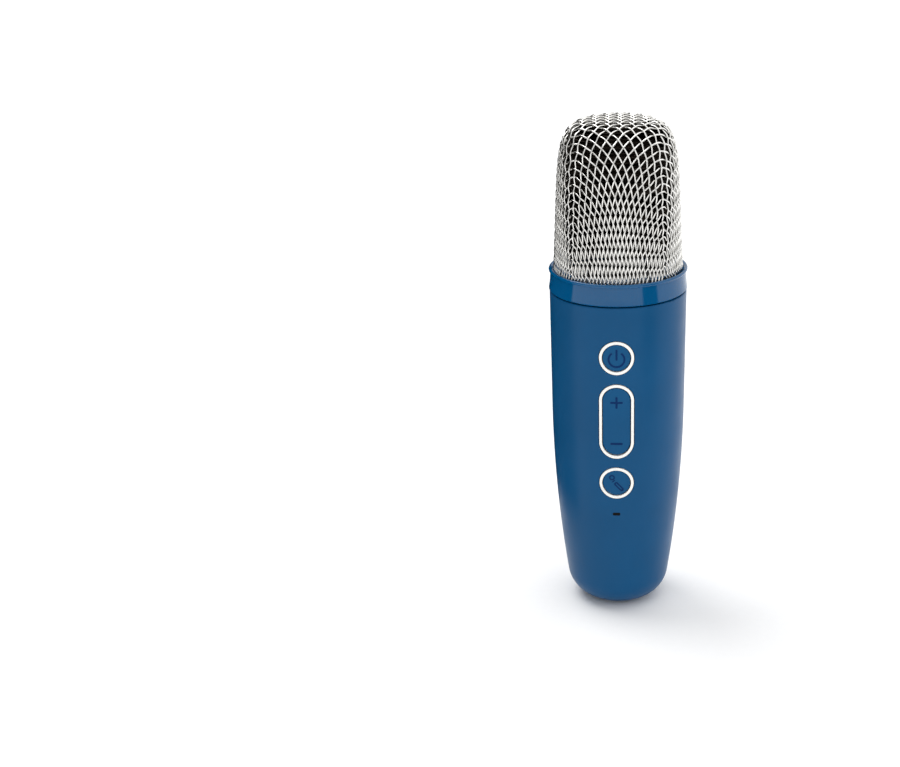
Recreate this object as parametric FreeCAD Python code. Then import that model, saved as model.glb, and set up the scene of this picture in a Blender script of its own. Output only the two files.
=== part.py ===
# Wireless karaoke-style toy microphone: a two-half handle that stands on its rounded foot, a glossy
# collar, a woven wire head over foam, three front keys with trim rings, and the electronics inside.
# Millimetres. Origin at the centre of the foot, +Z up along the handle, the keys face -Y.
import FreeCAD, Part
import math
import os
from FreeCAD import Vector as V

# ---------------------------------------------------------------- handle
HANDLE_LENGTH = 102.9        # foot to the top edge of the two shells
HANDLE_TOP_R = 20.8          # outside radius at that edge
TAPER_DEG = 0.5              # lean of the upper, straight part of the handle
TAPER_END_Z = 66.0           # the long side curve starts here, going down
FOOT_ROUND_Z = 8.4           # the side curve ends and the foot rounding starts here
SIDE_LEAN_DEG = 8.5          # lean of the side where the foot rounding starts
WALL = 2.0                   # shell wall
TOP_EDGE_R = 0.35            # rounding of the shells' top edge
SHOULDER_T = 2.0             # thickness of the shoulder under the neck
TONGUE_H = 1.2               # interlock of the two shells across the parting plane
TONGUE_GAP = 0.1

# ---------------------------------------------------------------- collar and head
NECK_H = 3.0                 # the neck that the collar snaps over
NECK_INSET = 1.8             # neck radius below the handle's top radius
NECK_WALL = 1.7
SNAP_BEAD = 0.3              # bead round the neck, in a groove of the collar
BEAD_RISE = 1.8              # handle's top edge to the middle of the bead
BEAD_FOOT = 0.7              # half height of the bead at the neck, and at its crest below
BEAD_CREST = 0.15
GROOVE_PLAY = (0.2, 0.1)     # the groove's half height beyond the bead's, at the neck and at the crest
SEAT_BITE = 0.2              # how far the bead and disc run into the neck so that they join it
COLLAR_FLARE = 0.2           # collar's lower edge beyond the handle
COLLAR_WAIST = 0.48          # how far the band narrows below its lip
COLLAR_H = 6.65
LIP_R = 0.55                 # bead at the top of the collar
MOUTH_SLOPE = 0.35           # drop of the lip towards the mouth
COLLAR_EDGE = 0.25           # bevel of the lower edge
BAND_HOLLOW = 0.1            # hollow of the band between edge and lip
COLLAR_GAP = 0.4             # shadow gap between the collar and the shells
COLLAR_FIT = 0.1             # radial play over the neck
SHELF_T = 0.8                # shelf in the collar that carries the head
MOUTH_WIDTH = 1.25           # from the lip's outside to the mouth of the collar
WIRE_D = 0.5                 # wire of the woven head; the cloth is two wires thick
HEAD_GAP = 0.12              # between the woven head and the collar's mouth
HEAD_H = 45.5                # collar's top edge to the crown of the head
SIDE_POLE_IN = 2.28          # control points of the head's outline, from its foot radius
SIDE_POLE_DROP = 1.27
CROWN_POLE_OUT = 1.04
RIM_T = 0.9                  # hoop inside the foot of the head
RIM_H = 3.4
FOAM_T = 3.0                 # wind foam inside the head
FOAM_GAP = 0.3
STACK_GAP = 0.05             # between neck, carrier disc, shelf, rim and foam, one on the other

# ---------------------------------------------------------------- capsule and its carrier
CAPSULE_R = 4.85
CAPSULE_H = 6.6
BOOT_WALL = 1.5
BOOT_FLOOR = 1.2
BOOT_GAP = 0.05
CUP_WALL = 1.2
CUP_DEPTH = 5.0
TOWER_R = 3.6                # post under the capsule
TOWER_H = 20.0
LEAD_BORE_R = 1.6            # bore of the post for the leads
CARRIER_T = 1.0
CARRIER_PORTS = 6            # round openings in the carrier's disc
PORT_R = 2.2
PORT_EDGE = 0.6              # disc left between a port and the spigot
SPIGOT_GAP = 0.15            # spigot in the bore of the neck
SPIGOT_WALL = 1.2
SPIGOT_H = 2.0
GUSSET_T = 1.2               # four webs at the foot of the post
GUSSET_REACH = 4.0
GUSSET_H = 5.0
GUSSET_HOLLOW = 5.0          # radius of their hollow edge
BOOT_LIP = 0.6               # lip over the capsule's rim
LIP_REACH = 0.9
CAPSULE_EDGE = 0.4
SOUND_HOLE_R = 1.0
SOUND_HOLE_DEPTH = 0.5
CAPSULE_LEAD_X = 0.7         # leads beside the middle of the capsule
LEAD_DROP = 2.5              # straight part of the leads below the carrier's disc

# ---------------------------------------------------------------- keys
POWER_DROP = 15.6            # top edge of the shells down to the power key
KEY_SPACING = 20.4
INDICATOR_DROP = 10.8        # mode key down to the indicator slot
RING_R = 5.2                 # outside radius of the trim rings
RING_WIDTH = 0.82
ROCKER_RING_L = 24.0         # length of the long ring round the volume rocker
RING_PROUD = 0.2
RING_DEPTH = 1.1
RING_GAP = 0.22              # between a ring and its seat
RING_FLOOR_GAP = 0.05        # under a ring, in its seat
KEY_BORE_GAP = 0.35          # bore in the shell behind the ring, round a key
KEY_GAP = 0.22               # between a key and its ring
ROCKER_END_GAP = 0.35        # more play at the ends of the rocker, which swing
KEY_RECESS = 0.12            # key faces below the handle's surface
KEY_EDGE_R = 0.25
KEY_TRAVEL = 0.4
FLANGE_T = 1.0               # flange that keeps a key from falling out
FLANGE_OVER = 0.3            # flange radius beyond the ring's
FLANGE_PLAY = 0.3
POST_R = 1.2                 # post on a key that presses its switch
SLOT_L = 2.4                 # indicator slot
SLOT_H = 1.05
LENS_GAP = 0.05
LENS_PLATE = (4.4, 3.0, 0.8) # plate behind the wall that stops the lens: width, height, thickness
LENS_WALL_GAP = 0.05         # plate to the wall
LENS_RECESS = 0.05           # lens below the handle's surface

# ---------------------------------------------------------------- rocker bearing and key frame
ROCKER_ARM = 8.5             # pivot to each volume switch
PIVOT_R = 0.8
PIVOT_PLAY = 0.05
PIVOT_END_GAP = 0.1          # pivot's ends inside the outer faces of the lugs
SPINE_WALL = 0.6             # rocker's spine round the pivot
SPINE_SHARE = 0.6            # width of the spine in the width of the rocker
ROCKER_ROOT = 0.4            # rocker's back in front of the pivot's axis
ROOT_BITE = 0.5              # how far spine and posts run into the rocker's back
LUG_T = 1.6
LUG_GAP = 0.5                # rocker's side to a lug
LUG_WRAP = 0.8               # lug material round the pivot
LUG_PLAY = 0.3               # lug to the shell's inner wall
WINDOW_PLAY = 0.6            # round the rocker's spine, in the key frame
FRAME_T = 1.0
FRAME_PLAY = 0.4             # pressed key flange to the frame
FRAME_HOLE_R = 2.2
FRAME_EDGE = 1.2
FRAME_PIN_R = 0.6
FRAME_PIN_PLAY = 0.05
LEG_R = 1.1
PIN_BITE = 0.5
FRAME_CORNER = 1.5

# ---------------------------------------------------------------- boards
BOARD_T = 1.2
BOARD_BOTTOM_Z = 20.5
BOARD_TOP_GAP = 2.4          # under the shoulder
BOARD_EDGE_GAP = 0.3         # beside the screw bosses
BOARD_SCREW_IN = 2.5         # board edge to the axis of its screws
BOARD_CORNER = 1.0
SWITCH_W = 5.2
SWITCH_H = 1.9
SWITCH_FLOOR = 0.25
SWITCH_SPARE = 0.15          # room left under a pressed plunger
PLUNGER_R = 1.5
PLUNGER_PROUD = 0.9
PLUNGER_PLAY = 0.05
STEM_GAP = 0.02              # between a post and its plunger
LED_SIZE = (1.6, 0.8, 0.8)   # width, height, thickness off the board
LED_GAP = 0.3
AUDIO_CHIP = (6.0, 6.0, 0.9) # width, height, thickness off the board, as for the parts below
CHARGER_CHIP = (4.0, 4.0, 0.9)
INDUCTOR = (4.0, 4.0, 1.9)
CRYSTAL = (3.2, 2.5, 0.8)
CAPACITOR = (0.9, 1.6, 0.8)
AUDIO_CHIP_DROP = 2.0        # below the middle of the power key
CHARGER_X = 3.0
INDUCTOR_X = -3.4
CHARGER_RISE = 5.0           # above the cell's lower end
CRYSTAL_GAP = 1.6            # above the radio board
CAPACITOR_X = 5.2            # two columns beside the audio chip
CAPACITOR_DROP = 4.2
CAPACITOR_PITCH = 2.2
CAPACITOR_ROW_X = -6.4       # one row above the charger chip
CAPACITOR_ROW_RISE = 10.5
CAPACITOR_ROW_PITCH = 2.0

# ---------------------------------------------------------------- battery
CELL_R = 7.1
CELL_L = 50.2
CELL_PLAY = 0.15
CELL_END_GAP = 1.0
CELL_RISE = 1.0              # lower stop above the screw wells
CELL_EDGE = 0.6
CRADLE_AT = (0.2, 0.8)       # cradles along the cell
CRADLE_REACH = 1.0           # cradle's tips behind the cell's axis
STOP_REACH = 2.0             # stop's front edge before the axis
SOCKET_RISE = 9.0            # board's lower edge to the middle of the battery socket
SOCKET_WALL = 0.6
PLUG_W = 6.0
PLUG_H = 5.0
PLUG_DEPTH = 4.2
PLUG_PITCH = 1.2             # leads beside the plug's middle
PLUG_PLAY = 0.05
PLUG_SETBACK = 1.2           # plug's top below the socket's
TAB_T = 0.3
TAB_W = 5.0
TAB_SPAN = (1.0, 2.0)        # from the cell's front edge inwards, and beyond its axis
SHORT_LEAD_IN = 1.5          # leads on the tabs, from the cell's front edge
LONG_LEAD_IN = 2.5
SHORT_LEAD_DROP = 4.0        # loops below the plug
LONG_LEAD_DROP = 5.0
LONG_LEAD_RISE = 2.5         # and above the upper tab
LONG_LEAD_EDGE = 1.0         # long lead inside the board's edge
LEAD_CLEAR = 0.3             # long lead behind the radio can
MODULE_T = 0.8               # radio board on the back of the main board
MODULE_W = 14.0
MODULE_L = 19.0
MODULE_RISE = 2.5            # its middle above the middle of the rocker
CAN_H = 1.6                  # metal can on the radio board
CAN_EDGE = 0.8               # radio board left round the can
CAN_CORNER = 0.3
AERIAL_H = 5.2               # printed aerial above the can
PAD_T = 2.2                  # foam pad between the can and the cell
PAD_W = 8.0
PAD_H = 10.0
PAD_DROP = 1.0               # its middle below the middle of the rocker
PAD_GAP = 0.05
RIB_T = 1.6

# ---------------------------------------------------------------- charging socket
USB_W = 8.94
USB_H = 3.26
USB_L = 7.35
USB_T = 0.35                 # metal of the socket's shell
USB_INSET = 0.8              # socket mouth above the foot
USB_SLOT_GAP = 0.2
TONGUE_T = 0.7
TONGUE_W = 6.69
TONGUE_SETBACK = 0.9
USB_BOARD_T = 1.0
USB_BOARD_W = 12.0
USB_BOARD_L = 15.0
USB_BOARD_GAP = 0.4
USB_LEAD_X = 3.0
USB_FLOOR_GAP = 0.2          # board above the shell's inner wall
USB_SCREW_IN = (2.4, 2.6)    # screws in from the board's side and upper edges
USB_PAD_IN = 5.2             # lead pads below its upper edge
USB_LEAD_OUT = 3.0           # straight part of the leads off the board
USB_STOP_H = 1.5             # block that holds the tongue
USB_STOP_BITE = 1.0

# ---------------------------------------------------------------- screws and leads
SCREW_R = 0.95
SCREW_HEAD_R = 1.9
SCREW_HEAD_H = 1.3
SCREW_SLOT = 0.45
SLOT_REACH = 0.65            # arms of the cross, in the head's radius
SLOT_FLOOR = 0.45            # floor of the cross and the crown's rounding, in the head's height
SHELL_SCREW_L = 10.0
BOARD_SCREW_L = 4.6
PILOT_GAP = 0.03
PILOT_SPARE = 0.5            # pilot bore beyond the screw's tip
HOLE_GAP = 0.1               # screw holes of the boards
HEAD_WELL_GAP = 0.3
WELL_WALL = 0.9
BOSS_R = 2.3
BOSS_WALL_IN = 1.75          # gap left between a shell boss and the wall beside it
LOWER_BOSS_Z = 29.0
UPPER_BOSS_DROP = 8.5        # top edge of the shells to the upper screws
SCREW_SEAT_Y = 4.0           # the shell screws' heads sit this far behind the parting plane
BOARD_BOSS_R = 1.8
LEAD_R = 0.45
ARC_SHARE = 0.45             # of the shorter run, taken by the arc of a lead
PAD_SIDE_GAP = 0.5           # lead pads beside the board screws' heads
PAD_LAP = 3.0                # how far leads lie along the board


# ================================================================ worked-out places
def radians(degrees):
    return math.radians(degrees)


# The outline is a straight taper, one long arc and the foot's rounding, each tangent to the next.
BODY_TOP = HANDLE_LENGTH
TAPER_END_R = HANDLE_TOP_R - (BODY_TOP - TAPER_END_Z) * math.tan(radians(TAPER_DEG))
SIDE_ARC_R = (TAPER_END_Z - FOOT_ROUND_Z) / (math.sin(radians(SIDE_LEAN_DEG)) - math.sin(radians(TAPER_DEG)))
SIDE_C = (TAPER_END_R - SIDE_ARC_R * math.cos(radians(TAPER_DEG)),
          TAPER_END_Z + SIDE_ARC_R * math.sin(radians(TAPER_DEG)))
FOOT_ARC_R = FOOT_ROUND_Z / (1 - math.sin(radians(SIDE_LEAN_DEG)))
FOOT_C = (SIDE_C[0] + (SIDE_ARC_R - FOOT_ARC_R) * math.cos(radians(SIDE_LEAN_DEG)), FOOT_ARC_R)

NECK_R = HANDLE_TOP_R - NECK_INSET
NECK_BORE_R = NECK_R - NECK_WALL
NECK_TOP = BODY_TOP + NECK_H
COLLAR_Z = BODY_TOP + COLLAR_GAP
COLLAR_TOP = COLLAR_Z + COLLAR_H
COLLAR_R = HANDLE_TOP_R + COLLAR_FLARE
CARRIER_Z = NECK_TOP + STACK_GAP
SHELF_Z = CARRIER_Z + CARRIER_T + STACK_GAP
HEAD_Z = SHELF_Z + SHELF_T + STACK_GAP
HEAD_R = COLLAR_R - MOUTH_WIDTH - HEAD_GAP
HEAD_TOP = COLLAR_TOP + HEAD_H
HEAD_T = 2 * WIRE_D
FOAM_INSET = HEAD_T + FOAM_GAP
CUP_Z = CARRIER_Z + CARRIER_T + TOWER_H
BOOT_R = CAPSULE_R + BOOT_WALL

POWER_Z = BODY_TOP - POWER_DROP
VOLUME_Z = POWER_Z - KEY_SPACING
MODE_Z = VOLUME_Z - KEY_SPACING
INDICATOR_Z = MODE_Z - INDICATOR_DROP
KEY_HOLE_R = RING_R - RING_WIDTH
KEY_R = KEY_HOLE_R - KEY_GAP
FLANGE_R = RING_R + FLANGE_OVER
ROCKER_SPAN = ROCKER_RING_L - 2 * RING_R


def wall_radius(z, inset=0.0):
    """Radius of the handle's surface, or of a surface inset from it, at height z."""
    if z >= TAPER_END_Z:
        taper = radians(TAPER_DEG)
        return HANDLE_TOP_R - (BODY_TOP - z) * math.tan(taper) - inset / math.cos(taper)
    if z >= FOOT_ROUND_Z:
        return SIDE_C[0] + math.sqrt((SIDE_ARC_R - inset) ** 2 - (SIDE_C[1] - z) ** 2)
    return FOOT_C[0] + math.sqrt((FOOT_ARC_R - inset) ** 2 - (FOOT_C[1] - z) ** 2)


def inner_wall_y(z, x):
    """How far in front of the axis the shell's inner wall is, beside the middle plane by x."""
    return math.sqrt(wall_radius(z, WALL) ** 2 - x ** 2)


def flange_front(z):
    return -inner_wall_y(z - FLANGE_R, FLANGE_R) + FLANGE_PLAY


# From the key flanges inwards: key frame, plungers, board, radio can, foam pad, cell.
FRAME_FRONT = flange_front(MODE_Z) + FLANGE_T + KEY_TRAVEL + FRAME_PLAY
FRAME_BACK = FRAME_FRONT + FRAME_T
BOARD_FRONT = FRAME_BACK + PLUNGER_PROUD + SWITCH_H
BOARD_BACK = BOARD_FRONT + BOARD_T
SWITCH_FRONT = BOARD_FRONT - SWITCH_H
PLUNGER_TIP = SWITCH_FRONT - PLUNGER_PROUD
LUG_X = KEY_R + LUG_GAP
PIVOT_HALF = LUG_X + LUG_T
LUG_REACH = PIVOT_R + PIVOT_PLAY + LUG_WRAP
PIVOT_Y = -inner_wall_y(VOLUME_Z - LUG_REACH, PIVOT_HALF) + LUG_REACH + LUG_PLAY
SPINE_HALF_H = PIVOT_R + SPINE_WALL
CAN_TOP = BOARD_BACK + MODULE_T + CAN_H
CELL_Y = CAN_TOP + PAD_T + 2 * PAD_GAP + CELL_R

UPPER_BOSS_Z = BODY_TOP - UPPER_BOSS_DROP
BOSS_X = wall_radius(LOWER_BOSS_Z, WALL) - BOSS_R - BOSS_WALL_IN
WELL_R = SCREW_HEAD_R + HEAD_WELL_GAP
REAR_BOSS_R = WELL_R + WELL_WALL
BOARD_HALF_W = BOSS_X - BOSS_R - BOARD_EDGE_GAP
BOARD_TOP_Z = BODY_TOP - SHOULDER_T - BOARD_TOP_GAP
BOARD_SCREW_X = BOARD_HALF_W - BOARD_SCREW_IN
LEAD_PAD_X = BOARD_SCREW_X - SCREW_HEAD_R - PAD_SIDE_GAP - LEAD_R
LEAD_PAD_Y = BOARD_BACK + LEAD_R
BOARD_SCREW_Z = (BOARD_BOTTOM_Z + BOARD_SCREW_IN, BOARD_TOP_Z - BOARD_SCREW_IN)
CELL_Z = LOWER_BOSS_Z + REAR_BOSS_R + CELL_RISE + RIB_T + CELL_END_GAP
SOCKET_Z = BOARD_BOTTOM_Z + SOCKET_RISE
PLUG_TOP = SOCKET_Z + PLUG_H / 2 - PLUG_SETBACK
FRAME_HALF_W = PIVOT_HALF + FRAME_EDGE
FRAME_Z = (MODE_Z - FLANGE_R, POWER_Z + FLANGE_R)
LEG_X = FRAME_HALF_W - LEG_R
LEG_Z = (FRAME_Z[0] + LEG_R, VOLUME_Z + ROCKER_SPAN, FRAME_Z[1] - LEG_R)

USB_BACK = USB_H / 2
USB_TOP = USB_INSET + USB_L
USB_BOARD_BACK = USB_BACK + USB_BOARD_T
USB_CORNER = math.hypot(USB_BOARD_W / 2, USB_BOARD_BACK) + USB_BOARD_GAP
USB_BOARD_Z = (FOOT_C[1] - math.sqrt((FOOT_ARC_R - WALL) ** 2 - max(USB_CORNER - FOOT_C[0], 0) ** 2)
               + USB_FLOOR_GAP)
USB_SCREW_X = USB_BOARD_W / 2 - USB_SCREW_IN[0]
USB_SCREW_Z = USB_BOARD_Z + USB_BOARD_L - USB_SCREW_IN[1]
USB_PAD_Z = USB_BOARD_Z + USB_BOARD_L - USB_PAD_IN


# ================================================================ shapes used again and again
def revolve(edges):
    """Solid of a closed outline in the XZ plane, turned round the Z axis."""
    face = Part.Face(Part.Wire(edges))
    return face.revolve(V(0, 0, 0), V(0, 0, 1), 360)


def polygon(points):
    corners = [V(r, 0, z) for r, z in points]
    return Part.makePolygon(corners + corners[:1]).Edges


def disc(radius, z0, z1, centre=(0, 0)):
    return Part.makeCylinder(radius, z1 - z0, V(centre[0], centre[1], z0))


def tube(outer, inner, z0, z1):
    return disc(outer, z0, z1).cut(disc(inner, z0 - 1, z1 + 1))


def rod_y(radius, y0, y1, x, z):
    """Cylinder along Y from y0 to y1."""
    return Part.makeCylinder(radius, y1 - y0, V(x, y0, z), V(0, 1, 0))


def rod_x(radius, x0, x1, y, z):
    return Part.makeCylinder(radius, x1 - x0, V(x0, y, z), V(1, 0, 0))


def block(x0, x1, y0, y1, z0, z1):
    return Part.makeBox(x1 - x0, y1 - y0, z1 - z0, V(x0, y0, z0))


def pill_y(radius, span, y0, y1, z, upright=True):
    """Prism along Y with round ends; span is the distance between the ends' centres."""
    if span == 0:
        return rod_y(radius, y0, y1, 0, z)
    dx, dz = (0, span / 2) if upright else (span / 2, 0)
    ends = [rod_y(radius, y0, y1, side * dx, z + side * dz) for side in (-1, 1)]
    middle = block(-radius if upright else -dx, radius if upright else dx, y0, y1,
                   z - (dz if upright else radius), z + (dz if upright else radius))
    return middle.fuse(ends).removeSplitter()


def arc_point(centre, radius, degrees):
    turn = radians(degrees)
    return V(centre[0] + radius * math.cos(turn), 0, centre[1] + radius * math.sin(turn))


def arc(centre, radius, start, end):
    middle = (start + end) / 2
    points = [arc_point(centre, radius, angle) for angle in (start, middle, end)]
    return Part.Arc(*points).toShape()


def handle_solid(inset, top):
    """The handle's outer form, or a form inset from it, filled up to height top."""
    foot_r = FOOT_ARC_R - inset
    side_r = SIDE_ARC_R - inset
    foot = arc_point(FOOT_C, foot_r, -90)
    bend = arc_point(SIDE_C, side_r, -TAPER_DEG)
    rim = V(wall_radius(top, inset), 0, top)
    edges = [
        Part.makeLine(V(0, 0, foot.z), foot),
        arc(FOOT_C, foot_r, -90, -SIDE_LEAN_DEG),
        arc(SIDE_C, side_r, -SIDE_LEAN_DEG, -TAPER_DEG),
        Part.makeLine(bend, rim),
        Part.makeLine(rim, V(0, 0, top)),
        Part.makeLine(V(0, 0, top), V(0, 0, foot.z)),
    ]
    return revolve(edges)


def head_solid(inset, foot_z):
    """The woven head's outer form, or one inset from it, closed at foot_z."""
    foot_r = HEAD_R - inset
    top = HEAD_TOP - inset
    curve = Part.BezierCurve()
    curve.setPoles([V(foot_r, 0, COLLAR_TOP), V(foot_r - SIDE_POLE_IN, 0, top - SIDE_POLE_DROP),
                    V(foot_r + CROWN_POLE_OUT, 0, top), V(0, 0, top)])
    edges = [
        Part.makeLine(V(0, 0, COLLAR_TOP), V(foot_r, 0, COLLAR_TOP)),
        curve.toShape(),
        Part.makeLine(V(0, 0, top), V(0, 0, COLLAR_TOP)),
    ]
    dome = revolve(edges)
    if foot_z > COLLAR_TOP:
        return dome.cut(disc(HANDLE_TOP_R * 2, COLLAR_TOP - 1, foot_z))
    return dome.fuse(disc(foot_r, foot_z, COLLAR_TOP)).removeSplitter()


def lead(points, radius=LEAD_R):
    """Insulated wire: straight runs joined by tangent arcs as large as the runs allow."""
    points = [V(*point) for point in points]
    edges = []
    start = points[0]
    for before, here, after in zip(points, points[1:], points[2:]):
        run_in, run_out = here - before, after - here
        turn = run_in.getAngle(run_out)
        reach = ARC_SHARE * min(run_in.Length, run_out.Length)
        unit_in, unit_out = run_in.normalize(), run_out.normalize()
        enter, leave = here - unit_in * reach, here + unit_out * reach
        bend = reach / math.tan(turn / 2)
        to_centre = (unit_out - unit_in).normalize()
        middle = here + to_centre * (bend / math.cos(turn / 2) - bend)
        edges += [Part.makeLine(start, enter), Part.Arc(enter, middle, leave).toShape()]
        start = leave
        print("lead bend radius", round(bend, 2))
    edges.append(Part.makeLine(start, points[-1]))
    path = Part.Wire(edges)
    section = Part.Wire(Part.makeCircle(radius, points[0], points[1] - points[0]))
    solid = path.makePipeShell([section], True, False)
    straight_volume = math.pi * radius ** 2 * path.Length
    print("lead volume over section times length", round(solid.Volume / straight_volume, 4))
    return solid


def screw(x, z, tip_y, seat_y):
    """Pan-head screw along Y with a cross slot; its head stands beyond seat_y."""
    way = 1 if seat_y > tip_y else -1
    shank = rod_y(SCREW_R, min(tip_y, seat_y), max(tip_y, seat_y), x, z)
    head = rod_y(SCREW_HEAD_R, 0, SCREW_HEAD_H, x, z)
    crown = [edge for edge in head.Edges if abs(edge.CenterOfMass.y - SCREW_HEAD_H) < 1e-6]
    head = head.makeFillet(SCREW_HEAD_H * SLOT_FLOOR, crown)
    arm, half = SCREW_HEAD_R * SLOT_REACH, SCREW_SLOT / 2
    y0, y1 = SCREW_HEAD_H * SLOT_FLOOR, SCREW_HEAD_H + 1
    head = head.cut(block(x - arm, x + arm, y0, y1, z - half, z + half))
    head = head.cut(block(x - half, x + half, y0, y1, z - arm, z + arm))
    if way < 0:
        head = head.mirror(V(0, 0, 0), V(0, 1, 0))
    head.translate(V(0, seat_y, 0))
    return shank.fuse(head)


# ================================================================ shells
def ring_tool(span, z):
    """Everything that a trim ring, its key and the seat in the shell take out of the wall."""
    far = HANDLE_TOP_R * 2
    seat = pill_y(RING_R + RING_GAP, span, -far, 0, z)
    seat = seat.cut(handle_solid(RING_DEPTH + RING_FLOOR_GAP, BODY_TOP))
    return seat.fuse(pill_y(KEY_HOLE_R + KEY_BORE_GAP, span, -far, 0, z))


def pill_z(width, height, z0, z1):
    """Prism along Z, long in X, with full round ends."""
    radius = height / 2
    half = width / 2 - radius
    ends = [disc(radius, z0, z1, (side * half, 0)) for side in (-1, 1)]
    return block(-half, half, -radius, radius, z0, z1).fuse(ends).removeSplitter()


def usb_slot():
    return pill_z(USB_W + 2 * USB_SLOT_GAP, USB_H + 2 * USB_SLOT_GAP, -1, WALL * 2)


def shell_blank():
    """Both shells as one: outer form with a rounded top edge, neck, snap bead and cavity."""
    outer = handle_solid(0, BODY_TOP)
    rim = [edge for edge in outer.Edges if abs(edge.BoundBox.ZMin - BODY_TOP) < 1e-6
           and abs(edge.BoundBox.ZMax - BODY_TOP) < 1e-6 and edge.Length > HANDLE_TOP_R * 3]
    outer = outer.makeFillet(TOP_EDGE_R, rim)
    root, crest, middle = NECK_R - SEAT_BITE, NECK_R + SNAP_BEAD, BODY_TOP + BEAD_RISE
    bead = revolve(polygon([(root, middle - BEAD_FOOT), (crest, middle - BEAD_CREST),
                            (crest, middle + BEAD_CREST), (root, middle + BEAD_FOOT)]))
    outer = outer.fuse([disc(NECK_R, BODY_TOP - 1, NECK_TOP), bead])
    cavity = handle_solid(WALL, BODY_TOP - SHOULDER_T)
    return outer.cut([cavity, disc(NECK_BORE_R, BODY_TOP - SHOULDER_T - 1, NECK_TOP + 1), usb_slot()])


def half_space(front):
    far = HANDLE_TOP_R * 2
    return block(-far, far, -far if front else 0, 0 if front else far, -far, HEAD_TOP + far)


def tongue_band(outset, height):
    """Inner part of the wall beside the parting plane, where one shell reaches into the other."""
    top = BODY_TOP - SHOULDER_T
    band = handle_solid(WALL / 2 + outset, top).cut(handle_solid(WALL, top))
    far = HANDLE_TOP_R * 2
    return band.common(block(-far, far, 0, height, 0, top)).cut(usb_slot())


def shell_screw_places():
    return [(side * BOSS_X, z) for side in (-1, 1) for z in (LOWER_BOSS_Z, UPPER_BOSS_Z)]


def board_screw_places():
    return [(side * BOARD_SCREW_X, z) for side in (-1, 1) for z in BOARD_SCREW_Z]


def front_shell():
    far = HANDLE_TOP_R * 2
    keep = handle_solid(WALL / 2, BODY_TOP - SHOULDER_T / 2)
    shell = shell_blank().common(half_space(True))
    bosses = [rod_y(BOSS_R, -far, 0, x, z).common(keep) for x, z in shell_screw_places()]
    bosses += [rod_y(BOARD_BOSS_R, -far, BOARD_FRONT, x, z).common(keep) for x, z in board_screw_places()]
    shell = shell.fuse(bosses + [tongue_band(TONGUE_GAP, TONGUE_H)]).removeSplitter()
    pilots = [rod_y(SCREW_R + PILOT_GAP, SCREW_SEAT_Y - SHELL_SCREW_L - PILOT_SPARE, 1, x, z)
              for x, z in shell_screw_places()]
    pilots += [rod_y(SCREW_R + PILOT_GAP, BOARD_BACK - BOARD_SCREW_L - PILOT_SPARE, 0, x, z)
               for x, z in board_screw_places()]
    slot = pill_y(SLOT_H / 2, SLOT_L - SLOT_H, -far, 0, INDICATOR_Z, upright=False)
    openings = [ring_tool(0, POWER_Z), ring_tool(ROCKER_SPAN, VOLUME_Z), ring_tool(0, MODE_Z), slot]
    return shell.cut(pilots + openings)


def cell_ribs():
    """Two cradles under the cell and a stop beyond each of its ends."""
    far = HANDLE_TOP_R
    keep = handle_solid(WALL / 2, BODY_TOP - SHOULDER_T / 2)
    ribs = []
    for z in [CELL_Z + CELL_L * share for share in CRADLE_AT]:
        cradle = block(-far, far, CELL_Y + CRADLE_REACH, far, z - RIB_T / 2, z + RIB_T / 2)
        ribs.append(cradle.cut(disc(CELL_R + CELL_PLAY, z - RIB_T, z + RIB_T, (0, CELL_Y))).common(keep))
    for z in (CELL_Z - CELL_END_GAP - RIB_T, CELL_Z + CELL_L + CELL_END_GAP):
        ribs.append(block(-CELL_R / 2, CELL_R / 2, CELL_Y - STOP_REACH, far, z, z + RIB_T).common(keep))
    return ribs


def rear_shell():
    far = HANDLE_TOP_R * 2
    keep = handle_solid(WALL / 2, BODY_TOP - SHOULDER_T / 2)
    shell = shell_blank().common(half_space(False)).cut(tongue_band(0, TONGUE_H + TONGUE_GAP))
    bosses = [rod_y(REAR_BOSS_R, 0, far, x, z).common(keep) for x, z in shell_screw_places()]
    posts = [rod_y(BOARD_BOSS_R, USB_BOARD_BACK, far, side * USB_SCREW_X, USB_SCREW_Z).common(keep)
             for side in (-1, 1)]
    shell = shell.fuse(bosses + posts + cell_ribs()).removeSplitter()
    wells = [rod_y(WELL_R, SCREW_SEAT_Y, far, x, z) for x, z in shell_screw_places()]
    wells += [rod_y(SCREW_R + HEAD_WELL_GAP, -1, far, x, z) for x, z in shell_screw_places()]
    pilot_end = USB_BACK + BOARD_SCREW_L + PILOT_SPARE
    wells += [rod_y(SCREW_R + PILOT_GAP, 0, pilot_end, side * USB_SCREW_X, USB_SCREW_Z) for side in (-1, 1)]
    return shell.cut(wells)


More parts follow.
